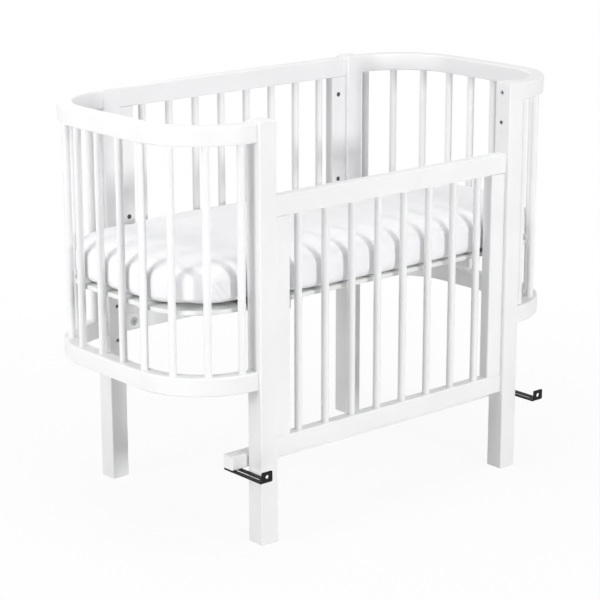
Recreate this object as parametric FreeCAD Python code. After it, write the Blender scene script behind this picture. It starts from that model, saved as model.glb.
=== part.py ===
import FreeCAD, Part
import math
import os

# Bedside sleeper crib in white painted wood. All sizes are in millimetres.
# X runs along the front, Y from the front to the back, Z up. Shapes are built about the middle
# of the frame and moved to the row's origin, under the middle of the whole object, on export.

# ---- frame ----
POST_SIDE = 40.0
POST_HEIGHT = 815.0
FRAME_WIDTH = 522.0          # over the outer faces of the front and back posts
PANEL_LENGTH = 610.0         # between the posts of one side
EDGE_RADIUS = 2.5            # eased edges of posts, panels and batten

# ---- bent end rails ----
RAIL_HEIGHT = 36.0
RAIL_THICKNESS = 30.0
RAIL_INSET = 8.0             # from a post's outer face to the outer face of the rail
RAIL_STRAIGHT = 5.0          # straight run between the post and the bend
RAIL_CORNER_RADIUS = 158.0   # outer radius of each bend
RAIL_EDGE_RADIUS = 3.5
RAIL_TOP_GAP = 3.0           # from the top of a post down to the rails
RAIL_UNDERSIDE = 308.0       # underside of the lower bent rails above the floor

# ---- side panels ----
PANEL_THICKNESS = 24.0
PANEL_TOP_RAIL = 40.0
PANEL_BOTTOM_RAIL = 38.0
STILE_WIDTH = 38.0
FRONT_PANEL_DROP = 140.0     # how much lower the front panel is mounted

# ---- slats ----
SLAT_DIAMETER = 15.0
SLAT_SOCKET_DEPTH = 12.0
PANEL_SLATS = 8
END_SLATS = 10
END_SLAT_FIRST = 25.0        # along the bend's middle line, from the post to the first slat

# ---- base board and its support ----
BOARD_THICKNESS = 9.0
BOARD_UNDERSIDE = 457.0
BOARD_END_GAP = 1.5          # from the slats' inner faces to the board's ends
BOARD_POST_GAP = 1.0
BOARD_RADIUS = 122.0
CLEAT_WIDTH = 30.0
CLEAT_HEIGHT = 21.0
CLEAT_FROM_POST = 42.0       # from a post's inner face to the cleat
CLEAT_END_GAP = 5.0
CLEAT_END_RADIUS = 6.0
SUPPORT_LEG = 30.0
SUPPORT_WIDTH = 30.0
SUPPORT_THICKNESS = 3.0
SUPPORT_BOLT_BELOW_BOARD = 17.0
BASE_HOLE_PITCH = 72.0
BASE_HEIGHTS = 3

# ---- mattress ----
MATTRESS_THICKNESS = 80.0
MATTRESS_CROWN = 5.0         # rise of the middle above the upper edge
MATTRESS_LOWER_ROUND = (20.0, 16.0)  # of the lower edge: how far in, how far up
MATTRESS_UPPER_ROUND = (26.0, 22.0)  # of the upper edge: how far in, how far down
MATTRESS_BULGE = 8.5         # how far the long sides swell past the board between the posts
MATTRESS_SHOULDER = 0.85     # the share of the bulge that is reached beside the stiles
MATTRESS_SEAT_GAP = 0.3

# ---- bed fixing batten and brackets ----
BATTEN_SIDE = 28.0
BATTEN_UNDERSIDE = 149.0
BATTEN_OVERHANG = 38.5       # past the outer face of each post
BRACKET_WIDTH = 25.0
BRACKET_THICKNESS = 2.5
BRACKET_FLANGE_HEIGHT = 23.0
BRACKET_HOLE_DIAMETER = 9.0
BRACKET_HOLE_HEIGHT = 12.5
BRACKET_BEND_RADIUS = 3.0    # inner radius
BRACKET_CORNER_RADIUS = 2.5
BRACKET_SLOT_WIDTH = 6.6
BRACKET_SLOT_FROM_FLANGE = 20.0
BRACKET_SLOT_FROM_TAIL = 8.0
BRACKET_END_PLAY = 1.5       # behind the screw of the bracket that stands out furthest
BRACKET_GAP = 0.1            # above and below the sliding strap
LEFT_REACH = 47.5            # from the posts' front face to the left bracket's flange
RIGHT_REACH = 39.5

# ---- fixings ----
FIXING_INSET = 23.0          # from a post's outer face to the line of bolts and studs
BOLT_DIAMETER = 6.0
BOLT_HEAD_DIAMETER = 10.0
BOLT_HEAD_HEIGHT = 6.0
BOLT_HEAD_RECESS = 1.0       # how deep a head lies below the surface
BOLT_CLEARANCE = 0.3         # around shanks and heads
HEX_ACROSS_FLATS = 5.0
HEX_DEPTH = 3.0
INSERT_DIAMETER = 10.0
INSERT_LENGTH = 14.0
INSERT_BORE_GAP = 0.1        # around a bolt in its insert
FIT_GAP = 0.1                # around inserts, cams, dowels and slats in their holes
CAM_DIAMETER = 10.0
CAM_DEPTH = 14.0
CAM_FROM_END = 22.0          # from a panel's end to the middle of a cam
LOWER_CAM_DIAMETER = 18.0
LOWER_CAM_FROM_END = 28.0
CAM_SLOT_WIDTH = 1.4
CAM_SLOT_DEPTH = 2.0
CAM_MIDDLE_HEIGHT = 239.0    # above the panel's underside
CAM_UPPER_DROP = 78.0        # below the panel's top
DOWEL_DIAMETER = 8.0
DOWEL_IN_STILE = 20.0
DOWEL_IN_RAIL = 10.0
DOWEL_SPACING = 20.0
SUPPORT_BOLT_LENGTH = 16.0
SUPPORT_SCREW_DIAMETER = 4.0
SUPPORT_SCREW_HEAD = 8.0
SUPPORT_SCREW_HEAD_HEIGHT = 2.2
SUPPORT_SCREW_DEPTH = 6.5    # into the board
WASHER_DIAMETER = 16.0
WASHER_THICKNESS = 1.2
CLAMP_HEAD_DIAMETER = 11.0
CLAMP_HEAD_HEIGHT = 3.2

# ---- places that follow from the sizes ----
HALF_PANEL = PANEL_LENGTH / 2
HALF_WIDTH = FRAME_WIDTH / 2
POST_X = HALF_PANEL + POST_SIDE / 2
POST_Y = HALF_WIDTH - POST_SIDE / 2
POST_OUTER_X = HALF_PANEL + POST_SIDE
POST_INNER_Y = HALF_WIDTH - POST_SIDE
RAIL_TOP_Z = POST_HEIGHT - RAIL_TOP_GAP
UPPER_RAIL_UNDERSIDE = RAIL_TOP_Z - RAIL_HEIGHT
END_REACH = RAIL_STRAIGHT + RAIL_CORNER_RADIUS
BEND_CENTRE_X = POST_OUTER_X + RAIL_STRAIGHT
BEND_CENTRE_Y = HALF_WIDTH - RAIL_INSET - RAIL_CORNER_RADIUS
PANEL_HEIGHT = RAIL_TOP_Z - RAIL_UNDERSIDE
STILE_HEIGHT = PANEL_HEIGHT - PANEL_TOP_RAIL - PANEL_BOTTOM_RAIL
PANEL_MIDDLE_Y = HALF_WIDTH - RAIL_INSET - PANEL_THICKNESS / 2
PANEL_INNER_Y = HALF_WIDTH - RAIL_INSET - PANEL_THICKNESS
FIXING_Y = HALF_WIDTH - FIXING_INSET
PANEL_UNDERSIDE = {"front": RAIL_UNDERSIDE - FRONT_PANEL_DROP, "back": RAIL_UNDERSIDE}
CAM_LOWER_HEIGHT = RAIL_HEIGHT / 2
CAM_UPPER_HEIGHT = PANEL_HEIGHT - CAM_UPPER_DROP
BOARD_HALF_LENGTH = POST_OUTER_X + END_REACH - RAIL_THICKNESS / 2 - SLAT_DIAMETER / 2 - BOARD_END_GAP
BOARD_HALF_WIDTH = POST_INNER_Y - BOARD_POST_GAP
BOARD_TOP = BOARD_UNDERSIDE + BOARD_THICKNESS
BASE_BOLT_Z = BOARD_UNDERSIDE - SUPPORT_BOLT_BELOW_BOARD
BATTEN_MIDDLE_Y = -POST_INNER_Y + BATTEN_SIDE / 2
BATTEN_MIDDLE_Z = BATTEN_UNDERSIDE + BATTEN_SIDE / 2
BATTEN_HALF_LENGTH = POST_OUTER_X + BATTEN_OVERHANG
BRACKET_X = BATTEN_HALF_LENGTH - BRACKET_WIDTH / 2
BRACKET_LENGTH = (max(LEFT_REACH, RIGHT_REACH) + POST_SIDE + BATTEN_SIDE / 2 + BOLT_DIAMETER / 2
                  + BRACKET_END_PLAY + BRACKET_SLOT_FROM_TAIL)
STRAP_UNDERSIDE = BATTEN_UNDERSIDE - BRACKET_GAP - BRACKET_THICKNESS
COUNTERBORE_DEPTH = BOLT_HEAD_HEIGHT + BOLT_HEAD_RECESS
ORIGIN_SHIFT_Y = max(LEFT_REACH, RIGHT_REACH) / 2

SIDES = {"left": -1, "right": 1}
ENDS = {"front": -1, "back": 1}
X_AXIS = FreeCAD.Vector(1, 0, 0)
Y_AXIS = FreeCAD.Vector(0, 1, 0)
Z_AXIS = FreeCAD.Vector(0, 0, 1)


# ---- small tools ----
def block(low, high):
    """A box between two corners, given in any order."""
    corner = FreeCAD.Vector(*[min(a, b) for a, b in zip(low, high)])
    size = [abs(a - b) for a, b in zip(low, high)]
    return Part.makeBox(size[0], size[1], size[2], corner)


def rod(start, direction, diameter, length):
    """A cylinder from a point along a direction."""
    return Part.makeCylinder(diameter / 2, length, FreeCAD.Vector(*start), direction)


def eased(shape, radius, axis=None):
    """Rounds the straight edges that run along an axis, or every edge."""
    edges = shape.Edges
    if axis is not None:
        edges = [e for e in edges if runs_along(e, axis)]
    return shape.makeFillet(radius, edges)


def runs_along(edge, axis):
    start = edge.Vertexes[0].Point
    end = edge.Vertexes[-1].Point
    run = end.sub(start)
    return run.Length > 0 and abs(run.dot(axis)) > 0.999 * run.Length


def cut_all(shape, tools):
    return shape.cut(Part.makeCompound(tools)) if tools else shape


def group(solids):
    return Part.makeCompound(solids)


def socket_bolt(seat, direction, length, head_height=BOLT_HEAD_HEIGHT, head_diameter=BOLT_HEAD_DIAMETER):
    """A cap bolt: the head lies behind its seat and the shank runs along the direction."""
    point = FreeCAD.Vector(*seat)
    head = Part.makeCylinder(head_diameter / 2, head_height, point, direction.negative())
    shank = Part.makeCylinder(BOLT_DIAMETER / 2, length, point, direction)
    top = point.sub(direction.multiply(head_height))
    socket = hexagon(top, direction, min(HEX_DEPTH, head_height - 1.0))
    return head.fuse(shank).removeSplitter().cut(socket)


def hexagon(centre, direction, depth):
    """A six-sided socket, its faces across the direction that it is sunk along."""
    radius = HEX_ACROSS_FLATS / math.sqrt(3)
    turn = FreeCAD.Rotation(Z_AXIS, direction)
    points = []
    for k in range(7):
        angle = math.radians(60 * k)
        spoke = FreeCAD.Vector(radius * math.cos(angle), radius * math.sin(angle), 0)
        points.append(centre.add(turn.multVec(spoke)))
    face = Part.Face(Part.makePolygon(points))
    return face.extrude(FreeCAD.Vector(direction).multiply(depth))


def insert(mouth, direction):
    """A threaded insert, drawn as a plain sleeve that its bolt fits."""
    sleeve = rod(mouth, direction, INSERT_DIAMETER, INSERT_LENGTH)
    bore = rod(mouth, direction, BOLT_DIAMETER + 2 * INSERT_BORE_GAP, INSERT_LENGTH)
    return sleeve.cut(bore)


def insert_hole(mouth, direction):
    return rod(mouth, direction, INSERT_DIAMETER + 2 * FIT_GAP, INSERT_LENGTH + FIT_GAP)


# ---- where the fixings are ----
def panel_fixing_heights(underside):
    """Heights of the fixings of a panel that is mounted with its underside at a height.

    At the lower rail's height the panel's lowest fixing is the rod that goes through the post.
    """
    heights = [underside + CAM_MIDDLE_HEIGHT, underside + CAM_UPPER_HEIGHT]
    if underside != RAIL_UNDERSIDE:
        heights.append(underside + CAM_LOWER_HEIGHT)
    return heights


def panel_insert_heights(end):
    """Front posts take the panel at either height, back posts at the upper one only."""
    heights = panel_fixing_heights(RAIL_UNDERSIDE)
    if PANEL_UNDERSIDE[end] != RAIL_UNDERSIDE:
        heights += panel_fixing_heights(PANEL_UNDERSIDE[end])
    return heights


def base_insert_heights():
    return [BASE_BOLT_Z - k * BASE_HOLE_PITCH for k in range(BASE_HEIGHTS)]


def each_corner():
    for side, sx in SIDES.items():
        for end, sy in ENDS.items():
            yield side, sx, end, sy


def rail_bolt_heights(end):
    """The back posts' lower rails are held by the long rods instead."""
    upper = UPPER_RAIL_UNDERSIDE + RAIL_HEIGHT / 2
    lower = RAIL_UNDERSIDE + RAIL_HEIGHT / 2
    return [upper, lower] if end == "front" else [upper]


# ---- posts ----
def post(sx, end, sy):
    half = POST_SIDE / 2
    low = (sx * POST_X - half, sy * POST_Y - half, 0)
    high = (sx * POST_X + half, sy * POST_Y + half, POST_HEIGHT)
    body = eased(block(low, high), EDGE_RADIUS)
    inward_x = FreeCAD.Vector(sx, 0, 0)
    outward_y = FreeCAD.Vector(0, sy, 0)
    inner_x = sx * HALF_PANEL
    inner_y = sy * POST_INNER_Y
    tools = []
    shank_hole = BOLT_DIAMETER + 2 * BOLT_CLEARANCE
    for z in (UPPER_RAIL_UNDERSIDE + RAIL_HEIGHT / 2, RAIL_UNDERSIDE + RAIL_HEIGHT / 2):
        tools.append(rod((inner_x, sy * FIXING_Y, z), inward_x, shank_hole, POST_SIDE))
    for z in rail_bolt_heights(end):
        head_hole = BOLT_HEAD_DIAMETER + 2 * BOLT_CLEARANCE
        tools.append(rod((inner_x, sy * FIXING_Y, z), inward_x, head_hole, COUNTERBORE_DEPTH))
    for z in panel_insert_heights(end):
        tools.append(insert_hole((inner_x, sy * FIXING_Y, z), inward_x))
    for z in base_insert_heights():
        tools.append(insert_hole((sx * POST_X, inner_y, z), outward_y))
    if end == "front":
        tools.append(insert_hole((sx * POST_X, inner_y, BATTEN_MIDDLE_Z), outward_y))
    return cut_all(body, tools)


# ---- bent end rails ----
def bend_outline(sx, inset):
    """Edges of the bend's line, a distance inside its outer face, from the front to the back."""
    radius = RAIL_CORNER_RADIUS - inset
    y = BEND_CENTRE_Y
    start = FreeCAD.Vector(sx * POST_OUTER_X, -y - radius, 0)
    front = FreeCAD.Vector(sx * BEND_CENTRE_X, -y - radius, 0)
    front_end = FreeCAD.Vector(sx * (BEND_CENTRE_X + radius), -y, 0)
    back_end = FreeCAD.Vector(sx * (BEND_CENTRE_X + radius), y, 0)
    back = FreeCAD.Vector(sx * BEND_CENTRE_X, y + radius, 0)
    stop = FreeCAD.Vector(sx * POST_OUTER_X, y + radius, 0)
    diagonal = radius * math.sqrt(0.5)
    front_mid = FreeCAD.Vector(sx * (BEND_CENTRE_X + diagonal), -y - diagonal, 0)
    back_mid = FreeCAD.Vector(sx * (BEND_CENTRE_X + diagonal), y + diagonal, 0)
    return [
        Part.LineSegment(start, front).toShape(),
        Part.Arc(front, front_mid, front_end).toShape(),
        Part.LineSegment(front_end, back_end).toShape(),
        Part.Arc(back_end, back_mid, back).toShape(),
        Part.LineSegment(back, stop).toShape(),
    ]


def bent_bar(sx, underside):
    """A bent rail without its holes: the band between the outer and the inner line."""
    outer = bend_outline(sx, 0)
    inner = bend_outline(sx, RAIL_THICKNESS)
    front_cap = Part.LineSegment(outer[0].Vertexes[0].Point, inner[0].Vertexes[0].Point).toShape()
    back_cap = Part.LineSegment(outer[-1].Vertexes[-1].Point, inner[-1].Vertexes[-1].Point).toShape()
    ring = Part.Wire(Part.__sortEdges__(outer + inner + [front_cap, back_cap]))
    band = Part.Face(ring).extrude(FreeCAD.Vector(0, 0, RAIL_HEIGHT))
    band.translate(FreeCAD.Vector(0, 0, underside))
    long_edges = [e for e in band.Edges if is_level(e) and not on_post_face(e, sx)]
    return band.makeFillet(RAIL_EDGE_RADIUS, long_edges)


def is_level(edge):
    return edge.BoundBox.ZLength < 0.01


def on_post_face(edge, sx):
    box = edge.BoundBox
    return box.XLength < 0.01 and abs(box.XMin - sx * POST_OUTER_X) < 0.01


def end_slat_places(sx):
    """Plan points of the end slats, evenly spaced along the bend's middle line."""
    radius = RAIL_CORNER_RADIUS - RAIL_THICKNESS / 2
    quarter = radius * math.pi / 2
    straight = 2 * BEND_CENTRE_Y
    length = 2 * (RAIL_STRAIGHT + quarter) + straight
    pitch = (length - 2 * END_SLAT_FIRST) / (END_SLATS - 1)
    return [bend_point(sx, END_SLAT_FIRST + k * pitch, radius, quarter, straight)
            for k in range(END_SLATS)]


def bend_point(sx, run, radius, quarter, straight):
    """Plan point at a run along the middle line, counted from the front post."""
    first_bend = RAIL_STRAIGHT + quarter
    second_bend = first_bend + straight
    if run < RAIL_STRAIGHT:
        return sx * (POST_OUTER_X + run), -BEND_CENTRE_Y - radius
    if run < first_bend:
        angle = (run - RAIL_STRAIGHT) / radius
        return sx * (BEND_CENTRE_X + radius * math.sin(angle)), -BEND_CENTRE_Y - radius * math.cos(angle)
    if run < second_bend:
        return sx * (BEND_CENTRE_X + radius), -BEND_CENTRE_Y + (run - first_bend)
    angle = min((run - second_bend) / radius, math.pi / 2)
    beyond = max(run - second_bend - quarter, 0)
    return (sx * (BEND_CENTRE_X + radius * math.cos(angle) - beyond),
            BEND_CENTRE_Y + radius * math.sin(angle))


def bent_rail(sx, underside, socket_z):
    """One bent rail with its slat sockets and the holes for the inserts in its ends."""
    tools = []
    for x, y in end_slat_places(sx):
        tools.append(rod((x, y, socket_z), Z_AXIS, SLAT_DIAMETER + 2 * FIT_GAP, SLAT_SOCKET_DEPTH))
    for sy in ENDS.values():
        mouth = (sx * POST_OUTER_X, sy * FIXING_Y, underside + RAIL_HEIGHT / 2)
        tools.append(insert_hole(mouth, FreeCAD.Vector(sx, 0, 0)))
    return cut_all(bent_bar(sx, underside), tools)


def slat(x, y, low, high):
    """A round slat that reaches into the sockets of the rails below and above it."""
    start = low - SLAT_SOCKET_DEPTH + FIT_GAP
    return rod((x, y, start), Z_AXIS, SLAT_DIAMETER, high + SLAT_SOCKET_DEPTH - FIT_GAP - start)


def end_slats(sx):
    low = RAIL_UNDERSIDE + RAIL_HEIGHT
    return group([slat(x, y, low, UPPER_RAIL_UNDERSIDE) for x, y in end_slat_places(sx)])


# ---- side panels ----
def panel_slat_places():
    pitch = PANEL_LENGTH / (PANEL_SLATS + 1)
    return [-HALF_PANEL + (k + 1) * pitch for k in range(PANEL_SLATS)]


def dowel_places(sy, underside):
    """Lower ends of the dowels between the stiles and the rails of one panel."""
    lower_joint = underside + PANEL_BOTTOM_RAIL
    upper_joint = underside + PANEL_HEIGHT - PANEL_TOP_RAIL
    places = []
    for sx in SIDES.values():
        middle = sx * (HALF_PANEL - STILE_WIDTH / 2)
        for x in (middle - DOWEL_SPACING / 2, middle + DOWEL_SPACING / 2):
            places.append((x, sy * PANEL_MIDDLE_Y, lower_joint - DOWEL_IN_RAIL))
            places.append((x, sy * PANEL_MIDDLE_Y, upper_joint - DOWEL_IN_STILE))
    return places


def dowel_holes(sy, underside):
    length = DOWEL_IN_STILE + DOWEL_IN_RAIL + 2 * FIT_GAP
    hole = DOWEL_DIAMETER + 2 * FIT_GAP
    return [rod((x, y, z - FIT_GAP), Z_AXIS, hole, length) for x, y, z in dowel_places(sy, underside)]


def cam_places(underside):
    """Middle points of the stile cams, as x and z."""
    return [(sx * (HALF_PANEL - CAM_FROM_END), underside + height)
            for sx in SIDES.values() for height in (CAM_MIDDLE_HEIGHT, CAM_UPPER_HEIGHT)]


def lower_cam_places(underside):
    return [(sx * (HALF_PANEL - LOWER_CAM_FROM_END), underside + CAM_LOWER_HEIGHT)
            for sx in SIDES.values()]


def cam_hole(x, z, sy, diameter):
    mouth = (x, sy * PANEL_INNER_Y, z)
    return rod(mouth, FreeCAD.Vector(0, sy, 0), diameter + 2 * FIT_GAP, CAM_DEPTH + FIT_GAP)


def stud_hole(x, z, sy):
    """The hole from a panel's end to its cam."""
    side = 1 if x > 0 else -1
    reach = HALF_PANEL - abs(x)
    start = (side * HALF_PANEL, sy * FIXING_Y, z)
    return rod(start, FreeCAD.Vector(-side, 0, 0), BOLT_DIAMETER + 2 * BOLT_CLEARANCE, reach)


def panel_rail(sy, low, high, slat_socket_z, tools):
    """A rail of a side panel, from its underside to its top."""
    outer = sy * (HALF_WIDTH - RAIL_INSET)
    body = block((-HALF_PANEL, outer, low), (HALF_PANEL, sy * PANEL_INNER_Y, high))
    body = eased(body, EDGE_RADIUS, X_AXIS)
    sockets = [rod((x, sy * PANEL_MIDDLE_Y, slat_socket_z), Z_AXIS, SLAT_DIAMETER + 2 * FIT_GAP,
                   SLAT_SOCKET_DEPTH) for x in panel_slat_places()]
    return cut_all(body, sockets + tools)


def panel_top_rail(sy, underside):
    top = underside + PANEL_HEIGHT
    return panel_rail(sy, top - PANEL_TOP_RAIL, top, top - PANEL_TOP_RAIL, dowel_holes(sy, underside))


def panel_bottom_rail(sy, underside):
    tools = dowel_holes(sy, underside)
    for x, z in lower_cam_places(underside):
        tools.append(cam_hole(x, z, sy, LOWER_CAM_DIAMETER))
        tools.append(stud_hole(x, z, sy))
    top = underside + PANEL_BOTTOM_RAIL
    return panel_rail(sy, underside, top, top - SLAT_SOCKET_DEPTH, tools)


def panel_stile(sx, sy, underside):
    low = underside + PANEL_BOTTOM_RAIL
    outer = sy * (HALF_WIDTH - RAIL_INSET)
    body = block((sx * HALF_PANEL, outer, low),
                 (sx * (HALF_PANEL - STILE_WIDTH), sy * PANEL_INNER_Y, low + STILE_HEIGHT))
    body = eased(body, EDGE_RADIUS, Z_AXIS)
    tools = dowel_holes(sy, underside)
    for x, z in cam_places(underside):
        tools.append(cam_hole(x, z, sy, CAM_DIAMETER))
        tools.append(stud_hole(x, z, sy))
    return cut_all(body, tools)


def panel_slat(x, sy, underside):
    low = underside + PANEL_BOTTOM_RAIL
    return slat(x, sy * PANEL_MIDDLE_Y, low, low + STILE_HEIGHT)


def frame_dowels():
    length = DOWEL_IN_STILE + DOWEL_IN_RAIL
    return group([rod(place, Z_AXIS, DOWEL_DIAMETER, length)
                  for end, sy in ENDS.items() for place in dowel_places(sy, PANEL_UNDERSIDE[end])])


# ---- fixings of rails and panels ----
def rail_bolts():
    bolts = []
    shank = POST_SIDE - COUNTERBORE_DEPTH + INSERT_LENGTH - FIT_GAP
    for _, sx, end, sy in each_corner():
        for z in rail_bolt_heights(end):
            seat = (sx * (HALF_PANEL + COUNTERBORE_DEPTH), sy * FIXING_Y, z)
            bolts.append(socket_bolt(seat, FreeCAD.Vector(sx, 0, 0), shank))
    return group(bolts)


def rail_inserts():
    return group([insert((sx * POST_OUTER_X, sy * FIXING_Y, underside + RAIL_HEIGHT / 2),
                         FreeCAD.Vector(sx, 0, 0))
                  for _, sx, _, sy in each_corner()
                  for underside in (UPPER_RAIL_UNDERSIDE, RAIL_UNDERSIDE)])


def connector_rods():
    """Rods from the back panel's lower cams through the posts into the lower bent rails."""
    rods = []
    for sx in SIDES.values():
        start = (sx * (HALF_PANEL - LOWER_CAM_FROM_END), FIXING_Y, RAIL_UNDERSIDE + RAIL_HEIGHT / 2)
        length = LOWER_CAM_FROM_END + POST_SIDE + INSERT_LENGTH - FIT_GAP
        rods.append(rod(start, FreeCAD.Vector(sx, 0, 0), BOLT_DIAMETER, length))
    return group(rods)


def panel_inserts():
    return group([insert((sx * HALF_PANEL, sy * FIXING_Y, z), FreeCAD.Vector(sx, 0, 0))
                  for _, sx, end, sy in each_corner() for z in panel_insert_heights(end)])


def panel_studs():
    """Studs from the inserts in the posts to the cams."""
    studs = []
    for end, sy in ENDS.items():
        places = cam_places(PANEL_UNDERSIDE[end])
        if end == "front":
            places = places + lower_cam_places(PANEL_UNDERSIDE[end])
        for x, z in places:
            side = 1 if x > 0 else -1
            length = HALF_PANEL - abs(x) + INSERT_LENGTH - FIT_GAP
            studs.append(rod((x, sy * FIXING_Y, z), FreeCAD.Vector(side, 0, 0), BOLT_DIAMETER, length))
    return group(studs)


def cam(x, z, sy, diameter):
    """A cam nut in its hole: a drum with a cross slot and a bore for the stud's end."""
    side = 1 if x > 0 else -1
    inward = FreeCAD.Vector(0, sy, 0)
    mouth = (x, sy * PANEL_INNER_Y, z)
    drum = rod(mouth, inward, diameter, CAM_DEPTH)
    slot_half = diameter * 0.3
    depth = sy * (PANEL_INNER_Y + CAM_SLOT_DEPTH)
    half_slot = CAM_SLOT_WIDTH / 2
    tools = [
        block((x - slot_half, mouth[1], z - half_slot), (x + slot_half, depth, z + half_slot)),
        block((x - half_slot, mouth[1], z - slot_half), (x + half_slot, depth, z + slot_half)),
        rod((x - side * FIT_GAP, sy * FIXING_Y, z), FreeCAD.Vector(side, 0, 0),
            BOLT_DIAMETER + 2 * FIT_GAP, diameter),
    ]
    return cut_all(drum, tools)


def panel_cams():
    return group([cam(x, z, sy, CAM_DIAMETER)
                  for end, sy in ENDS.items() for x, z in cam_places(PANEL_UNDERSIDE[end])])


def lower_cams():
    return group([cam(x, z, sy, LOWER_CAM_DIAMETER)
                  for end, sy in ENDS.items() for x, z in lower_cam_places(PANEL_UNDERSIDE[end])])


# ---- base ----
def rounded_outline(half_length, half_width, radius, z):
    """A closed wire of four lines and four quarter arcs, from the front right corner on."""
    edges = []
    for k in range(4):
        arc, line = corner_and_side(half_length, half_width, radius, z, k)
        edges += [arc, line]
    return Part.Wire(edges)


def corner_and_side(half_length, half_width, radius, z, k):
    """One quarter arc, and the line from its end to the start of the next one."""
    first, middle, last = corner_points(half_length, half_width, radius, z, k)
    following = corner_points(half_length, half_width, radius, z, k + 1)[0]
    return Part.Arc(first, middle, last).toShape(), Part.LineSegment(last, following).toShape()


def corner_points(half_length, half_width, radius, z, k):
    """Start, middle and end of the arc at corner k, counted anticlockwise from the front right."""
    sx, sy = [(1, -1), (1, 1), (-1, 1), (-1, -1)][k % 4]
    turn = math.radians(-90 + 90 * k)
    centre = FreeCAD.Vector(sx * (half_length - radius), sy * (half_width - radius), z)
    spokes = [turn, turn + math.pi / 4, turn + math.pi / 2]
    return [centre.add(FreeCAD.Vector(radius * math.cos(a), radius * math.sin(a), 0)) for a in spokes]


def base_board():
    outline = rounded_outline(BOARD_HALF_LENGTH, BOARD_HALF_WIDTH, BOARD_RADIUS, BOARD_UNDERSIDE)
    board = Part.Face(outline).extrude(FreeCAD.Vector(0, 0, BOARD_THICKNESS))
    board = board.makeFillet(EDGE_RADIUS, [e for e in board.Edges if is_level(e)])
    pilots = [rod((x, y, BOARD_UNDERSIDE), Z_AXIS, SUPPORT_SCREW_DIAMETER + 2 * FIT_GAP,
                  SUPPORT_SCREW_DEPTH + FIT_GAP) for x, y in support_screw_places()]
    return cut_all(board, pilots)


def base_cleat(sx):
    """A stiffening cleat glued across the board's underside."""
    near = sx * (HALF_PANEL - CLEAT_FROM_POST)
    far = sx * (HALF_PANEL - CLEAT_FROM_POST - CLEAT_WIDTH)
    half = BOARD_HALF_WIDTH - CLEAT_END_GAP
    low = BOARD_UNDERSIDE - CLEAT_HEIGHT
    body = block((near, -half, low), (far, half, BOARD_UNDERSIDE))
    lower_edges = [e for e in body.Edges if is_level(e) and abs(e.BoundBox.ZMin - low) < 0.01]
    return body.makeFillet(CLEAT_END_RADIUS, lower_edges)


def support_screw_places():
    """Plan points of the screws from the angle supports up into the board."""
    reach = SUPPORT_LEG * 2 / 3
    return [(sx * POST_X, sy * (POST_INNER_Y - reach)) for _, sx, _, sy in each_corner()]


def base_support(sx, sy):
    """An angle support: one leg on the post, the other under the board."""
    half = SUPPORT_WIDTH / 2
    x = sx * POST_X
    face = sy * POST_INNER_Y
    top = BOARD_UNDERSIDE
    upright = block((x - half, face, top - SUPPORT_LEG), (x + half, face - sy * SUPPORT_THICKNESS, top))
    shelf = block((x - half, face, top - SUPPORT_THICKNESS), (x + half, face - sy * SUPPORT_LEG, top))
    body = upright.fuse(shelf).removeSplitter()
    inward = FreeCAD.Vector(0, -sy, 0)
    screw_y = sy * (POST_INNER_Y - SUPPORT_LEG * 2 / 3)
    tools = [
        rod((x, face, BASE_BOLT_Z), inward, BOLT_DIAMETER + 2 * BOLT_CLEARANCE, SUPPORT_THICKNESS),
        rod((x, screw_y, top - SUPPORT_THICKNESS), Z_AXIS,
            SUPPORT_SCREW_DIAMETER + 2 * FIT_GAP, SUPPORT_THICKNESS),
    ]
    return cut_all(body, tools)


def support_bolts():
    """Low-headed bolts that hold the angle supports to the posts."""
    bolts = []
    for _, sx, _, sy in each_corner():
        seat = (sx * POST_X, sy * (POST_INNER_Y - SUPPORT_THICKNESS), BASE_BOLT_Z)
        bolts.append(socket_bolt(seat, FreeCAD.Vector(0, sy, 0), SUPPORT_BOLT_LENGTH, CLAMP_HEAD_HEIGHT))
    return group(bolts)


def support_screws():
    screws = []
    for x, y in support_screw_places():
        seat = BOARD_UNDERSIDE - SUPPORT_THICKNESS
        length = SUPPORT_THICKNESS + SUPPORT_SCREW_DEPTH
        shank = rod((x, y, seat), Z_AXIS, SUPPORT_SCREW_DIAMETER, length)
        head = rod((x, y, seat - SUPPORT_SCREW_HEAD_HEIGHT), Z_AXIS, SUPPORT_SCREW_HEAD,
                   SUPPORT_SCREW_HEAD_HEIGHT)
        screws.append(shank.fuse(head).removeSplitter())
    return group(screws)


def base_inserts():
    return group([insert((sx * POST_X, sy * POST_INNER_Y, z), FreeCAD.Vector(0, sy, 0))
                  for _, sx, _, sy in each_corner() for z in base_insert_heights()])


# ---- mattress ----
def mattress():
    """A padded block with straight sides, rounded edges and a low crown."""
    return Part.makeLoft([mattress_section(inset, z) for inset, z in mattress_profile()], True, True)


def mattress_profile():
    """Insets from the full outline with their heights, from the seat to the middle of the crown."""
    seat = BOARD_TOP + MATTRESS_SEAT_GAP
    rim = seat + MATTRESS_THICKNESS - MATTRESS_CROWN
    lower_in, lower_up = MATTRESS_LOWER_ROUND
    upper_in, upper_down = MATTRESS_UPPER_ROUND
    crown_run = (BOARD_RADIUS - upper_in) * 0.8
    steps = [k / 4 for k in range(5)]
    turns = [part * math.pi / 2 for part in steps]
    lower = [(lower_in * (1 - math.sin(a)), seat + lower_up * (1 - math.cos(a))) for a in turns]
    upper = [(upper_in * (1 - math.cos(a)), rim - upper_down * (1 - math.sin(a))) for a in turns]
    crown = [(upper_in + crown_run * math.sin(a), rim + MATTRESS_CROWN * part)
             for part, a in zip(steps[1:], turns[1:])]
    return lower + upper + crown


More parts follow.
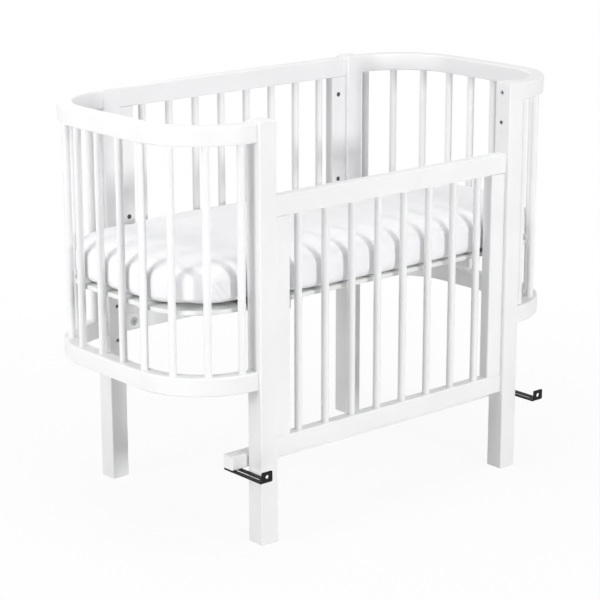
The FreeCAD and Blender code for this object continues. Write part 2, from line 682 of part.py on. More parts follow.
def mattress_section(inset, z):
    """The outline at a height: rounded corners, and long sides that swell between the posts."""
    half_length = BOARD_HALF_LENGTH - inset
    half_width = BOARD_HALF_WIDTH - inset
    edges = []
    for k in range(4):
        arc, side = corner_and_side(half_length, half_width, BOARD_RADIUS - inset, z, k)
        edges.append(arc)
        edges += [side] if k % 2 == 0 else swollen_side(side.Vertexes[0].Point, side.Vertexes[-1].Point)
    return Part.Wire(edges)


def swollen_side(start, stop):
    """A long side in place of a straight line: past the posts, out to the bulge and back."""
    turn = 1 if start.x > 0 else -1
    outward = 1 if start.y > 0 else -1
    at_post = turn * (HALF_PANEL + BOARD_POST_GAP)
    at_slats = turn * (HALF_PANEL - STILE_WIDTH - POST_SIDE / 8)
    shoulder = start.y + outward * MATTRESS_BULGE * MATTRESS_SHOULDER
    middle = FreeCAD.Vector(0, start.y + outward * MATTRESS_BULGE, start.z)
    points = [FreeCAD.Vector(x, y, start.z) for x, y in (
        (at_post, start.y), (at_slats, shoulder), (-at_slats, shoulder), (-at_post, start.y))]
    return [
        Part.LineSegment(start, points[0]).toShape(),
        Part.LineSegment(points[0], points[1]).toShape(),
        Part.Arc(points[1], middle, points[2]).toShape(),
        Part.LineSegment(points[2], points[3]).toShape(),
        Part.LineSegment(points[3], stop).toShape(),
    ]


# ---- bed fixing ----
def bed_batten():
    half = BATTEN_SIDE / 2
    low = (-BATTEN_HALF_LENGTH, BATTEN_MIDDLE_Y - half, BATTEN_UNDERSIDE)
    high = (BATTEN_HALF_LENGTH, BATTEN_MIDDLE_Y + half, BATTEN_UNDERSIDE + BATTEN_SIDE)
    body = eased(block(low, high), EDGE_RADIUS)
    tools = []
    back = BATTEN_MIDDLE_Y + half
    for sx in SIDES.values():
        mouth = (sx * POST_X, back, BATTEN_MIDDLE_Z)
        forward = FreeCAD.Vector(0, -1, 0)
        tools.append(rod(mouth, forward, BOLT_DIAMETER + 2 * BOLT_CLEARANCE, BATTEN_SIDE))
        tools.append(rod(mouth, forward, BOLT_HEAD_DIAMETER + 2 * BOLT_CLEARANCE, COUNTERBORE_DEPTH))
        tools.append(insert_hole((sx * BRACKET_X, BATTEN_MIDDLE_Y, BATTEN_UNDERSIDE), Z_AXIS))
    return cut_all(body, tools)


def batten_bolts():
    bolts = []
    seat_y = BATTEN_MIDDLE_Y + BATTEN_SIDE / 2 - COUNTERBORE_DEPTH
    shank = BATTEN_SIDE - COUNTERBORE_DEPTH + INSERT_LENGTH - FIT_GAP
    for sx in SIDES.values():
        seat = (sx * POST_X, seat_y, BATTEN_MIDDLE_Z)
        bolts.append(socket_bolt(seat, FreeCAD.Vector(0, -1, 0), shank))
    return group(bolts)


def batten_inserts():
    """Inserts in the front posts for the batten and in the batten for the bracket screws."""
    inserts = []
    for sx in SIDES.values():
        inserts.append(insert((sx * POST_X, -POST_INNER_Y, BATTEN_MIDDLE_Z), FreeCAD.Vector(0, -1, 0)))
        inserts.append(insert((sx * BRACKET_X, BATTEN_MIDDLE_Y, BATTEN_UNDERSIDE), Z_AXIS))
    return group(inserts)


def bed_bracket(sx, reach):
    """A slotted strap that runs under the batten, with an upright drilled flange in front."""
    half = BRACKET_WIDTH / 2
    x = sx * BRACKET_X
    face = -HALF_WIDTH - reach
    low = STRAP_UNDERSIDE
    strap = block((x - half, face, low), (x + half, face + BRACKET_LENGTH, low + BRACKET_THICKNESS))
    flange = block((x - half, face, low), (x + half, face + BRACKET_THICKNESS, low + BRACKET_FLANGE_HEIGHT))
    body = strap.fuse(flange).removeSplitter()
    body = body.makeFillet(BRACKET_BEND_RADIUS, [bend_edge(body, face + BRACKET_THICKNESS,
                                                           low + BRACKET_THICKNESS)])
    body = body.makeFillet(BRACKET_BEND_RADIUS + BRACKET_THICKNESS, [bend_edge(body, face, low)])
    body = body.makeFillet(BRACKET_CORNER_RADIUS, corner_edges(body, face, low))
    return cut_all(body, [bracket_slot(x, face), bracket_hole(x, face)])


def bend_edge(body, y, z):
    """The straight edge along X at a given y and z."""
    for edge in body.Edges:
        box = edge.BoundBox
        if runs_along(edge, X_AXIS) and abs(box.YMin - y) < 0.01 and abs(box.ZMin - z) < 0.01:
            return edge
    raise ValueError("no edge at the bend")


def corner_edges(body, face, low):
    """The short edges at the flange's upper corners and the strap's tail."""
    chosen = []
    for edge in body.Edges:
        box = edge.BoundBox
        upper = runs_along(edge, Y_AXIS) and abs(box.ZMin - low - BRACKET_FLANGE_HEIGHT) < 0.01
        tail = runs_along(edge, Z_AXIS) and abs(box.YMin - face - BRACKET_LENGTH) < 0.01
        if upper or tail:
            chosen.append(edge)
    return chosen


def bracket_slot(x, face):
    radius = BRACKET_SLOT_WIDTH / 2
    start = face + BRACKET_SLOT_FROM_FLANGE + radius
    stop = face + BRACKET_LENGTH - BRACKET_SLOT_FROM_TAIL - radius
    low = STRAP_UNDERSIDE
    middle = block((x - radius, start, low), (x + radius, stop, low + BRACKET_THICKNESS))
    rounds = [rod((x, y, low), Z_AXIS, BRACKET_SLOT_WIDTH, BRACKET_THICKNESS) for y in (start, stop)]
    return middle.fuse(rounds).removeSplitter()


def bracket_hole(x, face):
    start = (x, face, STRAP_UNDERSIDE + BRACKET_HOLE_HEIGHT)
    return rod(start, Y_AXIS, BRACKET_HOLE_DIAMETER, BRACKET_THICKNESS)


def bracket_washers():
    top = STRAP_UNDERSIDE - BRACKET_GAP
    washers = []
    for sx in SIDES.values():
        place = (sx * BRACKET_X, BATTEN_MIDDLE_Y, top - WASHER_THICKNESS)
        disc = rod(place, Z_AXIS, WASHER_DIAMETER, WASHER_THICKNESS)
        hole = rod(place, Z_AXIS, BOLT_DIAMETER + 2 * BOLT_CLEARANCE, WASHER_THICKNESS)
        washers.append(disc.cut(hole))
    return group(washers)


def bracket_screws():
    seat_z = STRAP_UNDERSIDE - BRACKET_GAP - WASHER_THICKNESS
    length = BATTEN_UNDERSIDE + INSERT_LENGTH - FIT_GAP - seat_z
    return group([socket_bolt((sx * BRACKET_X, BATTEN_MIDDLE_Y, seat_z), FreeCAD.Vector(Z_AXIS),
                              length, CLAMP_HEAD_HEIGHT, CLAMP_HEAD_DIAMETER)
                  for sx in SIDES.values()])


# ---- the whole crib ----
def frame_nodes():
    nodes = {}
    for side, sx, end, sy in each_corner():
        nodes[f"{end}_{side}_post"] = post(sx, end, sy)
    for side, sx in SIDES.items():
        upper = UPPER_RAIL_UNDERSIDE
        lower = RAIL_UNDERSIDE
        nodes[f"{side}_bent_top_rail"] = bent_rail(sx, upper, upper)
        nodes[f"{side}_bent_bottom_rail"] = bent_rail(sx, lower, lower + RAIL_HEIGHT - SLAT_SOCKET_DEPTH)
        nodes[f"{side}_end_slats"] = end_slats(sx)
    return nodes


def panel_nodes():
    nodes = {}
    for end, sy in ENDS.items():
        underside = PANEL_UNDERSIDE[end]
        nodes[f"{end}_panel_top_rail"] = panel_top_rail(sy, underside)
        nodes[f"{end}_panel_bottom_rail"] = panel_bottom_rail(sy, underside)
        for side, sx in SIDES.items():
            nodes[f"{end}_panel_{side}_stile"] = panel_stile(sx, sy, underside)
        for k, x in enumerate(panel_slat_places(), start=1):
            nodes[f"{end}_panel_slat_{k}"] = panel_slat(x, sy, underside)
    return nodes


def base_nodes():
    nodes = {"base_board": base_board(), "mattress": mattress()}
    for side, sx in SIDES.items():
        nodes[f"{side}_base_cleat"] = base_cleat(sx)
    for side, sx, end, sy in each_corner():
        nodes[f"{end}_{side}_base_support"] = base_support(sx, sy)
    return nodes


def fixing_nodes():
    return {
        "bent_rail_bolts": rail_bolts(),
        "bent_rail_inserts": rail_inserts(),
        "connector_rods": connector_rods(),
        "panel_inserts": panel_inserts(),
        "panel_studs": panel_studs(),
        "panel_cams": panel_cams(),
        "panel_lower_cams": lower_cams(),
        "panel_dowels": frame_dowels(),
        "base_inserts": base_inserts(),
        "base_support_bolts": support_bolts(),
        "base_support_screws": support_screws(),
    }


def bed_fixing_nodes():
    return {
        "bed_batten": bed_batten(),
        "batten_bolts": batten_bolts(),
        "batten_inserts": batten_inserts(),
        "left_bed_bracket": bed_bracket(SIDES["left"], LEFT_REACH),
        "right_bed_bracket": bed_bracket(SIDES["right"], RIGHT_REACH),
        "bracket_washers": bracket_washers(),
        "bracket_screws": bracket_screws(),
    }


def main():
    os.makedirs("parts", exist_ok=True)
    nodes = {**frame_nodes(), **panel_nodes(), **base_nodes(), **fixing_nodes(), **bed_fixing_nodes()}
    for name, shape in nodes.items():
        shape.translate(FreeCAD.Vector(0, ORIGIN_SHIFT_Y, 0))
        if not shape.isValid():
            print("not valid:", name)
        shape.exportStep(f"parts/{name}.step")
    print(len(nodes), "nodes,", sum(len(shape.Solids) for shape in nodes.values()), "solids")


main()
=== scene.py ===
import math

import bpy
import numpy as np
from mathutils import Matrix, Vector


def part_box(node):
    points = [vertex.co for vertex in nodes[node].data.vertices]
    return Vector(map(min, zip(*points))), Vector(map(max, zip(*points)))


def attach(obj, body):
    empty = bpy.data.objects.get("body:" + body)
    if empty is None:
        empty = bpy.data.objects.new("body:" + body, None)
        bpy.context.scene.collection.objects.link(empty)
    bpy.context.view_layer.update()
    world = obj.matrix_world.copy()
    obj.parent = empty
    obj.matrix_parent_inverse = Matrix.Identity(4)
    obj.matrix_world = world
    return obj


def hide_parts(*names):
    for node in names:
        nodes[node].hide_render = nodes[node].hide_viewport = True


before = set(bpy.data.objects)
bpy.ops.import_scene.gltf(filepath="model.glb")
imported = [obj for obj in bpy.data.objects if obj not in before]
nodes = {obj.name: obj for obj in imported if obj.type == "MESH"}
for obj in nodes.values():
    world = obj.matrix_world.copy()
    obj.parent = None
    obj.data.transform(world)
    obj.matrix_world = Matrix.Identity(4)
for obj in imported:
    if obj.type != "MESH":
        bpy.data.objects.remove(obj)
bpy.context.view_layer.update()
scene = bpy.context.scene

# ---- camera ----
CAMERA_PLACE = (-2.6274, -2.9976, 1.4676)
CAMERA_AZIMUTH = -40.739
CAMERA_ELEVATION = 15.346
CAMERA_ROLL = -0.055
CAMERA_LENS = 121.455        # mm on a 36 mm wide sensor

# ---- room ----
FLOOR_HALF = 30.0
FLOOR_COLOUR = (0.74, 0.74, 0.74, 1)
FLOOR_WHITE = 0.92           # the floor's own white share near the crib, the rest takes the shadow
FLOOR_NEAR = 0.5             # up to this far from the middle; from FLOOR_FAR on it is all white
FLOOR_FAR = 1.6
WHITE = (1, 1, 1, 1)
ROOM_COLOUR = (1.0, 0.99, 0.98, 1)
ROOM_STRENGTH = 0.25

LIGHTS_AIM = (0, 0.02, 0.45)
LIGHTS = (                   # name, azimuth, elevation, distance, size, power
    ("left_high", -99, 34, 3.2, 1.7, 22),
    ("left_low", -88, 13, 2.9, 0.9, 26),
    ("front", 0, 9, 3.6, 0.4, 52),
    ("front_right", 42, 15, 3.6, 1.6, 13),
    ("overhead", -20, 84, 4.2, 2.2, 77),
    ("back_fill", 165, 35, 3.0, 1.6, 11),
)

# ---- mattress ----
MATTRESS_SHRINK = 0.0018     # how much smaller the pad starts, on every side
MATTRESS_SWELL = 0.007       # the furthest that a point may move in the simulation
MATTRESS_STEPS = 20          # frames of the simulation
MATTRESS_VOXEL = 0.0055
MATTRESS_CORNER = 0.122      # radius of the solid's corners in plan
MATTRESS_BULGE = 0.0085      # how far its long sides swell between the posts
MATTRESS_POSTS = 0.306       # from the middle to where that swelling starts
MATTRESS_SHOULDER = 0.262    # from the middle to its shoulder
SHOULDER_SHARE = 0.85        # the share of the bulge that the shoulder has
MATTRESS_CLEAR = 0.0004      # kept free of the solid's outline
MATTRESS_CROWN = 0.004       # how far the top may rise over the solid
SIDE_BAND = 0.03             # how far in from the outline a point still belongs to the side

# ---- the mattress's cover ----
PUCKER_DEPTH = 0.0012
PUCKER_REACH = 0.22          # share of the height over which the puckers fade out
EDGE_LIFT = 0.009            # how far the lower edge stands up at the front left
EDGE_LIFT_BAND = 0.075       # how far in from the outline it is lifted
EDGE_LIFT_FROM = (-0.15, -0.06)      # x and y from the middle, where it starts to lift
EDGE_LIFT_FADE = (0.12, 0.09)        # how far beyond that it is lifted in full
EDGE_LIFT_HEIGHT = 0.55      # share of the height up to which it is lifted
WAVE_HEIGHT = 0.0005
CREASE_CENTRE = (-0.407, 0.502)      # along the side from the middle, and above the floor
CREASE_WAY = (0.81, 0.58)            # the direction across the creases, along and up
CREASE_SPACING = 0.0105
CREASE_SPREAD = (0.017, 0.021)       # how far they reach, across and along their length
CREASE_DEPTH = 0.0011


# ---------------------------------------------------------------- small tools
def new_object(name, data):
    obj = bpy.data.objects.new(name, data)
    scene.collection.objects.link(obj)
    return obj


def add_node(tree, kind, **values):
    node = tree.nodes.new(kind)
    for key, value in values.items():
        setattr(node, key, value)
    return node


def join(tree, source, target):
    tree.links.new(source, target)


def new_material(name):
    """A material with one Principled shader. Returns the material, its tree and the shader."""
    material = bpy.data.materials.new(name)
    material.use_nodes = True
    tree = material.node_tree
    shader = tree.nodes["Principled BSDF"]
    return material, tree, shader


def object_space(tree, scale):
    """Object coordinates, which are the frame's own, stretched by a scale."""
    coords = add_node(tree, "ShaderNodeTexCoord")
    mapping = add_node(tree, "ShaderNodeMapping")
    mapping.inputs["Scale"].default_value = scale
    join(tree, coords.outputs["Object"], mapping.inputs["Vector"])
    return mapping.outputs["Vector"]


def noise(tree, vector, scale, detail=3.0, roughness=0.55, distortion=0.0):
    node = add_node(tree, "ShaderNodeTexNoise")
    node.inputs["Scale"].default_value = scale
    node.inputs["Detail"].default_value = detail
    node.inputs["Roughness"].default_value = roughness
    node.inputs["Distortion"].default_value = distortion
    join(tree, vector, node.inputs["Vector"])
    return node.outputs["Fac"]


def map_range(tree, value, low, high, to_low, to_high):
    node = add_node(tree, "ShaderNodeMapRange")
    names = ("From Min", "From Max", "To Min", "To Max")
    for name, number in zip(names, (low, high, to_low, to_high)):
        node.inputs[name].default_value = number
    join(tree, value, node.inputs["Value"])
    return node.outputs["Result"]


# A Mix node's colour sockets go by number, because their names repeat for its other kinds.
MIX_FACTOR = 0
MIX_FIRST = 6
MIX_SECOND = 7
MIX_RESULT = 2


def mix_colour(tree, factor, first, second):
    node = add_node(tree, "ShaderNodeMix", data_type="RGBA")
    node.inputs[MIX_FIRST].default_value = (*first, 1.0)
    node.inputs[MIX_SECOND].default_value = (*second, 1.0)
    join(tree, factor, node.inputs[MIX_FACTOR])
    return node.outputs[MIX_RESULT]


def bump(tree, height, strength, distance, normal=None):
    node = add_node(tree, "ShaderNodeBump")
    node.inputs["Strength"].default_value = strength
    node.inputs["Distance"].default_value = distance
    join(tree, height, node.inputs["Height"])
    if normal is not None:
        join(tree, normal, node.inputs["Normal"])
    return node.outputs["Normal"]


# ---------------------------------------------------------------- materials
PAINT_LIGHT = (0.868, 0.87, 0.878)
PAINT_DARK = (0.836, 0.838, 0.846)
BOARD_LIGHT = (0.84, 0.855, 0.835)
BOARD_DARK = (0.81, 0.825, 0.806)
BEECH_LIGHT = (0.66, 0.46, 0.28)
BEECH_DARK = (0.52, 0.34, 0.19)
COTTON_LIGHT = (0.90, 0.902, 0.92)
COTTON_DARK = (0.878, 0.88, 0.90)
THREADS_PER_METRE = 1250.0


def painted_wood(name, stretch, light=PAINT_LIGHT, dark=PAINT_DARK):
    """Semi-matt white paint: faint grain along the wood, under a fine spray texture."""
    material, tree, shader = new_material(name)
    along = object_space(tree, stretch)
    plain = object_space(tree, (1, 1, 1))
    grain = noise(tree, along, 42.0, detail=5.0, roughness=0.62, distortion=0.35)
    cloud = noise(tree, plain, 7.0, detail=2.0)
    spray = noise(tree, plain, 900.0, detail=2.0)
    tone = map_range(tree, cloud, 0.35, 0.65, 0.0, 1.0)
    join(tree, mix_colour(tree, tone, dark, light), shader.inputs["Base Color"])
    sheen = map_range(tree, grain, 0.3, 0.7, 0.36, 0.46)
    join(tree, sheen, shader.inputs["Roughness"])
    raised = bump(tree, grain, 0.10, 0.0006)
    join(tree, bump(tree, spray, 0.12, 0.00012, raised), shader.inputs["Normal"])
    shader.inputs["Specular IOR Level"].default_value = 0.5
    return material


def bare_beech(name):
    """Unpainted beech with fine dark flecks along the grain."""
    material, tree, shader = new_material(name)
    along = object_space(tree, (1, 1, 0.06))
    grain = noise(tree, along, 160.0, detail=6.0, roughness=0.7, distortion=0.6)
    flecks = noise(tree, object_space(tree, (1, 1, 0.18)), 900.0, detail=2.0)
    tone = map_range(tree, grain, 0.3, 0.7, 0.0, 1.0)
    join(tree, mix_colour(tree, tone, BEECH_DARK, BEECH_LIGHT), shader.inputs["Base Color"])
    join(tree, map_range(tree, flecks, 0.3, 0.7, 0.55, 0.75), shader.inputs["Roughness"])
    join(tree, bump(tree, grain, 0.3, 0.0002), shader.inputs["Normal"])
    return material


def cotton(name):
    """White cotton: two sets of threads crossing, faint slubs, a little sheen."""
    material, tree, shader = new_material(name)
    plain = object_space(tree, (1, 1, 1))
    warp = threads(tree, (1, 1, 0))
    weft = threads(tree, (1, -1, 1.4))
    crossed = add_node(tree, "ShaderNodeMath", operation="MAXIMUM")
    join(tree, warp, crossed.inputs[0])
    join(tree, weft, crossed.inputs[1])
    slubs = noise(tree, plain, 260.0, detail=4.0)
    cloud = noise(tree, plain, 9.0, detail=2.0)
    tone = map_range(tree, cloud, 0.35, 0.65, 0.0, 1.0)
    join(tree, mix_colour(tree, tone, COTTON_DARK, COTTON_LIGHT), shader.inputs["Base Color"])
    join(tree, map_range(tree, slubs, 0.3, 0.7, 0.78, 0.92), shader.inputs["Roughness"])
    woven = bump(tree, crossed.outputs[0], 0.35, 0.00015)
    uneven = bump(tree, slubs, 0.25, 0.0002, woven)
    join(tree, bump(tree, cloud, 0.25, 0.0012, uneven), shader.inputs["Normal"])
    shader.inputs["Sheen Weight"].default_value = 0.25
    shader.inputs["Sheen Roughness"].default_value = 0.5
    shader.inputs["Specular IOR Level"].default_value = 0.25
    return material


def threads(tree, direction):
    """Parallel threads across a direction, as a soft wave."""
    dot = add_node(tree, "ShaderNodeVectorMath", operation="DOT_PRODUCT")
    join(tree, object_space(tree, (1, 1, 1)), dot.inputs[0])
    dot.inputs[1].default_value = Vector(direction).normalized()
    scaled = add_node(tree, "ShaderNodeMath", operation="MULTIPLY")
    scaled.inputs[1].default_value = THREADS_PER_METRE * 2 * math.pi
    join(tree, dot.outputs["Value"], scaled.inputs[0])
    wave = add_node(tree, "ShaderNodeMath", operation="SINE")
    join(tree, scaled.outputs[0], wave.inputs[0])
    return wave.outputs[0]


def steel(name, light, dark, rough_low, rough_high, metal=1.0, mirror=0.5):
    """Coated or plated metal: fine grit in the bump, slow changes in tone and gloss."""
    material, tree, shader = new_material(name)
    plain = object_space(tree, (1, 1, 1))
    fine = noise(tree, plain, 700.0, detail=4.0, roughness=0.6)
    slow = noise(tree, plain, 60.0, detail=3.0)
    tone = map_range(tree, slow, 0.3, 0.7, 0.0, 1.0)
    join(tree, mix_colour(tree, tone, dark, light), shader.inputs["Base Color"])
    join(tree, map_range(tree, fine, 0.3, 0.7, rough_low, rough_high), shader.inputs["Roughness"])
    join(tree, bump(tree, fine, 0.35, 0.00008), shader.inputs["Normal"])
    shader.inputs["Metallic"].default_value = metal
    shader.inputs["Specular IOR Level"].default_value = mirror
    return material


def paint_node(name, material):
    """Gives a CAD node its material."""
    for material_slot in nodes[name].material_slots:
        material_slot.link = "OBJECT"
        material_slot.material = material


def make_materials():
    return {
        "upright": painted_wood("white_paint_upright", (1, 1, 0.05)),
        "lengthwise": painted_wood("white_paint_lengthwise", (0.05, 1, 1)),
        "crosswise": painted_wood("white_paint_crosswise", (1, 0.05, 1)),
        "bent": painted_wood("white_paint_bent", (0.3, 0.3, 1)),
        "board": painted_wood("white_board", (0.3, 0.3, 0.3), BOARD_LIGHT, BOARD_DARK),
        "beech": bare_beech("bare_beech"),
        "cotton": cotton("white_cotton"),
        "black": steel("black_coated_steel", (0.009, 0.009, 0.010), (0.006, 0.006, 0.007),
                       0.42, 0.58, metal=0.0, mirror=0.16),
        "zinc": steel("zinc_plated_steel", (0.66, 0.665, 0.68), (0.52, 0.525, 0.54), 0.34, 0.5),
        # A darkened copy of the cast zinc on the next line: painted shade for the dim holes that
        # the upper cams sit in
        "shaded_zinc": steel("cast_zinc_painted_shade", (0.17, 0.17, 0.175), (0.10, 0.10, 0.105), 0.4, 0.58),
        "cast_zinc": steel("cast_zinc", (0.56, 0.565, 0.58), (0.40, 0.405, 0.42), 0.36, 0.52),
    }


def finish_for(name):
    """Which finish a CAD node takes."""
    if "bed_bracket" in name or name in ("bracket_screws", "bracket_washers"):
        return "black"
    # The upper cams take the cast zinc darkened as painted shade
    if name == "panel_cams":
        return "shaded_zinc"
    if name == "panel_lower_cams":
        return "cast_zinc"
    if name == "panel_dowels":
        return "beech"
    if name == "mattress":
        return "cotton"
    if any(word in name for word in ("bolts", "screws", "inserts", "studs", "rods", "support")):
        return "zinc"
    if name == "base_board":
        return "board"
    if "cleat" in name:
        return "crosswise"
    if "bent" in name:
        return "bent"
    if name == "bed_batten" or name.endswith(("panel_top_rail", "panel_bottom_rail")):
        return "lengthwise"
    return "upright"


# ---------------------------------------------------------------- mattress
def side_bulge(x):
    """How far the solid's long sides stand out past its rounded rectangle."""
    run_in = (MATTRESS_POSTS - np.abs(x)) / (MATTRESS_POSTS - MATTRESS_SHOULDER)
    middle = np.clip(1 - (x / MATTRESS_SHOULDER) ** 2, 0, 1)
    arc = SHOULDER_SHARE + (1 - SHOULDER_SHARE) * middle
    share = np.where(run_in < 1, SHOULDER_SHARE * np.clip(run_in, 0, 1), arc)
    return MATTRESS_BULGE * share


def outline_distance(points, low, high):
    """How far points lie outside the solid's outline in plan, negative inside, and the way out."""
    centre = (low[:2] + high[:2]) / 2
    half = (high[:2] - low[:2]) / 2 - (0, MATTRESS_BULGE)
    local = points[:, :2] - centre
    local[:, 1] *= half[1] / (half[1] + side_bulge(local[:, 0]))
    excess = np.abs(local) - (half - MATTRESS_CORNER)
    outside = np.maximum(excess, 0)
    length = np.linalg.norm(outside, axis=1)
    distance = length + np.minimum(np.maximum(excess[:, 0], excess[:, 1]), 0) - MATTRESS_CORNER
    safe = np.where(length > 1e-9, length, 1)
    way = np.where(length[:, None] > 1e-9, outside / safe[:, None], 0) * np.sign(local)
    return distance, way


def points_of(mesh):
    flat = np.empty(len(mesh.vertices) * 3, dtype=np.float32)
    mesh.vertices.foreach_get("co", flat)
    return flat.reshape(-1, 3).astype(float)


def set_points(mesh, points):
    mesh.vertices.foreach_set("co", points.astype(np.float32).ravel())
    mesh.update()


def apply_modifiers(obj):
    graph = bpy.context.evaluated_depsgraph_get()
    mesh = bpy.data.meshes.new_from_object(obj.evaluated_get(graph))
    obj.modifiers.clear()
    obj.data = mesh


def remesh(obj, voxel):
    modifier = obj.modifiers.new("remesh", "REMESH")
    modifier.mode = "VOXEL"
    modifier.voxel_size = voxel
    apply_modifiers(obj)


def inflate(obj):
    """Lets the pad swell under a low pressure, as a stuffed cover does."""
    cloth = obj.modifiers.new("cloth", "CLOTH")
    settings = cloth.settings
    settings.quality = 4
    settings.mass = 0.3
    settings.tension_stiffness = 18
    settings.compression_stiffness = 18
    settings.shear_stiffness = 8
    settings.bending_stiffness = 1.5
    settings.use_pressure = True
    settings.uniform_pressure_force = 4.0
    settings.effector_weights.gravity = 0.0
    cloth.point_cache.frame_start = 1
    cloth.point_cache.frame_end = MATTRESS_STEPS
    for step in range(1, MATTRESS_STEPS + 1):
        scene.frame_set(step)
    apply_modifiers(obj)
    scene.frame_set(1)


def limit_swell(start, swollen):
    move = swollen - start
    length = np.linalg.norm(move, axis=1)
    scale = np.minimum(1, MATTRESS_SWELL / np.maximum(length, 1e-9))
    return start + move * scale[:, None]


def keep_full(start, swollen, low, high):
    """Undoes what the simulation pulled in, so that the sides only swell."""
    before, way = outline_distance(start, low, high)
    after, _ = outline_distance(swollen, low, high)
    sides = np.clip(1 + before / SIDE_BAND, 0, 1)
    swollen[:, :2] += way * (np.maximum(before - after, 0) * sides)[:, None]
    return swollen


def keep_inside(points, low, high):
    """Moves points back inside the solid's outline, above its seat and near its top."""
    distance, way = outline_distance(points, low, high)
    over = np.maximum(distance + MATTRESS_CLEAR, 0)
    points[:, :2] -= way * over[:, None]
    points[:, 2] = np.clip(points[:, 2], low[2], high[2] + MATTRESS_CROWN)
    return points


def add_cover_details(points, low, high):
    """The cover's puckered hem, its raised lower edge, slow waves on top and some creases."""
    middle = (low + high) / 2
    height = (points[:, 2] - low[2]) / (high[2] - low[2])
    points, distance, way = add_hem_puckers(points, height, low, high)
    x = points[:, 0] - middle[0]
    y = points[:, 1] - middle[1]
    points[:, 2] += edge_lift(x, y, height, distance)
    slow = (np.sin(x * 21 + 2.2 * np.sin(y * 9)) * np.sin(y * 17 + 1.3)
            + 0.6 * np.sin(x * 37 + y * 29))
    on_top = np.clip((height - 0.8) / 0.15, 0, 1)
    points[:, 2] += slow * WAVE_HEIGHT * on_top
    return add_corner_creases(points, way, middle)


def add_hem_puckers(points, height, low, high):
    """Small folds at the corners, deepest at the hem. Also gives the outline's distance and way."""
    distance, way = outline_distance(points, low, high)
    angle = np.arctan2(way[:, 1], way[:, 0])
    on_corner = np.clip(1 - np.abs(np.abs(np.sin(2 * angle)) - 1) / 0.9, 0, 1) ** 2
    on_side = np.clip(1 + distance / SIDE_BAND, 0, 1)
    folds = np.sin(angle * 46 + 1.7 * np.sin(angle * 9)) * 0.5 + np.sin(angle * 83 + 2.0) * 0.3
    hem = np.exp(-np.maximum(height, 0) / PUCKER_REACH)
    inward = (folds - 0.6) * PUCKER_DEPTH * hem * on_corner * on_side
    points[:, :2] += way * inward[:, None]
    return points, distance, way


def edge_lift(x, y, height, distance):
    """How far the cover's lower edge stands up at the front left."""
    along = (smooth_step((EDGE_LIFT_FROM[0] - x) / EDGE_LIFT_FADE[0])
             * smooth_step((EDGE_LIFT_FROM[1] - y) / EDGE_LIFT_FADE[1]))
    near_edge = smooth_step(1 + distance / EDGE_LIFT_BAND)
    low_down = np.clip(1 - height / EDGE_LIFT_HEIGHT, 0, 1) ** 1.5
    return EDGE_LIFT * along * near_edge * low_down


def add_corner_creases(points, way, middle):
    """A few short slanting creases in the cover, on the front left corner's side."""
    along = points[:, 0] - middle[0] - CREASE_CENTRE[0]
    up = points[:, 2] - CREASE_CENTRE[1]
    across = CREASE_WAY[0] * along + CREASE_WAY[1] * up
    down = CREASE_WAY[1] * along - CREASE_WAY[0] * up
    fade = np.exp(-(across / CREASE_SPREAD[0]) ** 2 - (down / CREASE_SPREAD[1]) ** 2)
    reach = fade * (way[:, 1] < -0.5)
    crease = np.sin(across * 2 * math.pi / CREASE_SPACING)
    points[:, :2] += way * (crease * reach * CREASE_DEPTH)[:, None]
    return points


def smooth_step(value):
    value = np.clip(value, 0, 1)
    return value * value * (3 - 2 * value)


def make_mattress(material):
    """A pad in a fitted sheet, in the space of the mattress's solid."""
    low, high = (np.array(corner, float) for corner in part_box("mattress"))
    pad = new_object("mattress_pad", nodes["mattress"].data.copy())
    middle = (low + high) / 2
    scale = 1 - 2 * MATTRESS_SHRINK / (high - low)
    set_points(pad.data, (points_of(pad.data) - middle) * scale + middle)
    remesh(pad, MATTRESS_VOXEL)
    swell(pad, low, high)
    refine(pad)
    points = add_cover_details(points_of(pad.data), low, high)
    set_points(pad.data, keep_inside(points, low, high))
    dress(pad, material)
    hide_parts("mattress")
    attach(pad, "mattress")


def swell(pad, low, high):
    """Runs the simulation and holds its result within the solid."""
    start = points_of(pad.data)
    inflate(pad)
    swollen = limit_swell(start, points_of(pad.data))
    swollen = keep_full(start, swollen, low, high)
    set_points(pad.data, keep_inside(swollen, low, high))


def refine(pad):
    modifier = pad.modifiers.new("subdivision", "SUBSURF")
    modifier.levels = 1
    modifier.render_levels = 1
    apply_modifiers(pad)


def dress(obj, material):
    """One smooth-shaded material all over."""
    obj.data.materials.clear()
    obj.data.materials.append(material)
    for polygon in obj.data.polygons:
        polygon.use_smooth = True
        polygon.material_index = 0


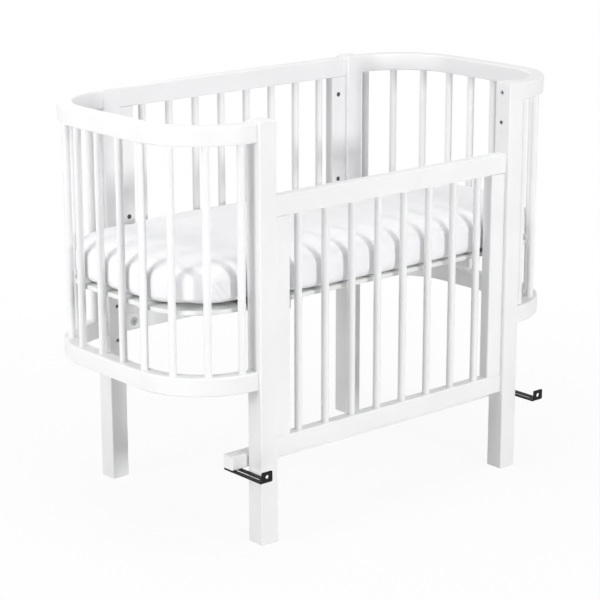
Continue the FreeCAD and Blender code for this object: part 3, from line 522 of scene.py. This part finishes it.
# ---------------------------------------------------------------- room and light
def add_floor():
    """A pale floor that shows white to the camera, with some of the object's shadow near it."""
    mesh = bpy.data.meshes.new("floor")
    signs = ((-1, -1), (1, -1), (1, 1), (-1, 1))
    corners = [(x * FLOOR_HALF, y * FLOOR_HALF, 0) for x, y in signs]
    mesh.from_pydata(corners, [], [(0, 1, 2, 3)])
    floor = new_object("floor", mesh)
    material = bpy.data.materials.new("pale_floor")
    material.use_nodes = True
    tree = material.node_tree
    tree.nodes.clear()
    output = add_node(tree, "ShaderNodeOutputMaterial")
    matt = add_node(tree, "ShaderNodeBsdfDiffuse")
    matt.inputs["Color"].default_value = FLOOR_COLOUR
    white = add_node(tree, "ShaderNodeEmission")
    white.inputs["Color"].default_value = WHITE
    white.inputs["Strength"].default_value = 1.0
    mixed = add_node(tree, "ShaderNodeMixShader")
    join(tree, matt.outputs[0], mixed.inputs[1])
    join(tree, white.outputs[0], mixed.inputs[2])
    reach = add_node(tree, "ShaderNodeVectorMath", operation="LENGTH")
    join(tree, object_space(tree, (1, 1, 1)), reach.inputs[0])
    share = add_node(tree, "ShaderNodeMath", operation="MULTIPLY")
    whiteness = map_range(tree, reach.outputs["Value"], FLOOR_NEAR, FLOOR_FAR, FLOOR_WHITE, 1.0)
    join(tree, whiteness, share.inputs[1])
    join(tree, background_rays(tree), share.inputs[0])
    join(tree, share.outputs[0], mixed.inputs[0])
    join(tree, mixed.outputs[0], output.inputs["Surface"])
    mesh.materials.append(material)


def background_rays(tree):
    """1 for rays that show the background: seen directly, in gloss or through glass."""
    path = add_node(tree, "ShaderNodeLightPath")
    total = path.outputs["Is Camera Ray"]
    for name in ("Is Glossy Ray", "Is Transmission Ray"):
        larger = add_node(tree, "ShaderNodeMath", operation="MAXIMUM")
        join(tree, total, larger.inputs[0])
        join(tree, path.outputs[name], larger.inputs[1])
        total = larger.outputs[0]
    return total


def add_world():
    """White where the camera sees it, a soft light of the room's colour for the rest."""
    world = bpy.data.worlds.new("studio")
    scene.world = world
    world.use_nodes = True
    tree = world.node_tree
    tree.nodes.clear()
    output = add_node(tree, "ShaderNodeOutputWorld")
    soft = add_node(tree, "ShaderNodeBackground")
    soft.inputs["Color"].default_value = ROOM_COLOUR
    soft.inputs["Strength"].default_value = ROOM_STRENGTH
    white = add_node(tree, "ShaderNodeBackground")
    white.inputs["Color"].default_value = WHITE
    white.inputs["Strength"].default_value = 1.0
    mixed = add_node(tree, "ShaderNodeMixShader")
    join(tree, background_rays(tree), mixed.inputs[0])
    join(tree, soft.outputs[0], mixed.inputs[1])
    join(tree, white.outputs[0], mixed.inputs[2])
    join(tree, mixed.outputs[0], output.inputs["Surface"])


def direction(azimuth, elevation):
    """The way out from the crib, in degrees; azimuth counts from the front to the right."""
    turn = math.radians(azimuth)
    rise = math.radians(elevation)
    return Vector((math.sin(turn) * math.cos(rise),
                   -math.cos(turn) * math.cos(rise),
                   math.sin(rise)))


def add_softbox(name, azimuth, elevation, distance, size, power):
    """A square lamp that looks at the crib's middle."""
    light = bpy.data.lights.new(name, "AREA")
    light.shape = "SQUARE"
    light.size = size
    light.energy = power
    lamp = new_object(name, light)
    way = direction(azimuth, elevation)
    lamp.location = Vector(LIGHTS_AIM) + way * distance
    lamp.rotation_euler = way.to_track_quat("Z", "Y").to_euler()


def add_camera():
    azimuth = math.radians(CAMERA_AZIMUTH)
    back = direction(CAMERA_AZIMUTH, CAMERA_ELEVATION)
    right = Vector((math.cos(azimuth), math.sin(azimuth), 0))
    turn = Matrix.Rotation(math.radians(CAMERA_ROLL), 3, back)
    right = turn @ right
    up = back.cross(right)
    data = bpy.data.cameras.new("camera")
    data.sensor_width = 36
    data.lens = CAMERA_LENS
    data.clip_end = 100
    camera = new_object("camera", data)
    rotation = Matrix((right, up, back)).transposed()
    camera.matrix_world = Matrix.Translation(CAMERA_PLACE) @ rotation.to_4x4()
    scene.camera = camera


# ---------------------------------------------------------------- the whole scene
def main():
    scene.view_settings.view_transform = "Standard"
    materials = make_materials()
    for name in nodes:
        paint_node(name, materials[finish_for(name)])
    make_mattress(materials["cotton"])
    add_floor()
    add_world()
    for lamp in LIGHTS:
        add_softbox(*lamp)
    add_camera()


main()
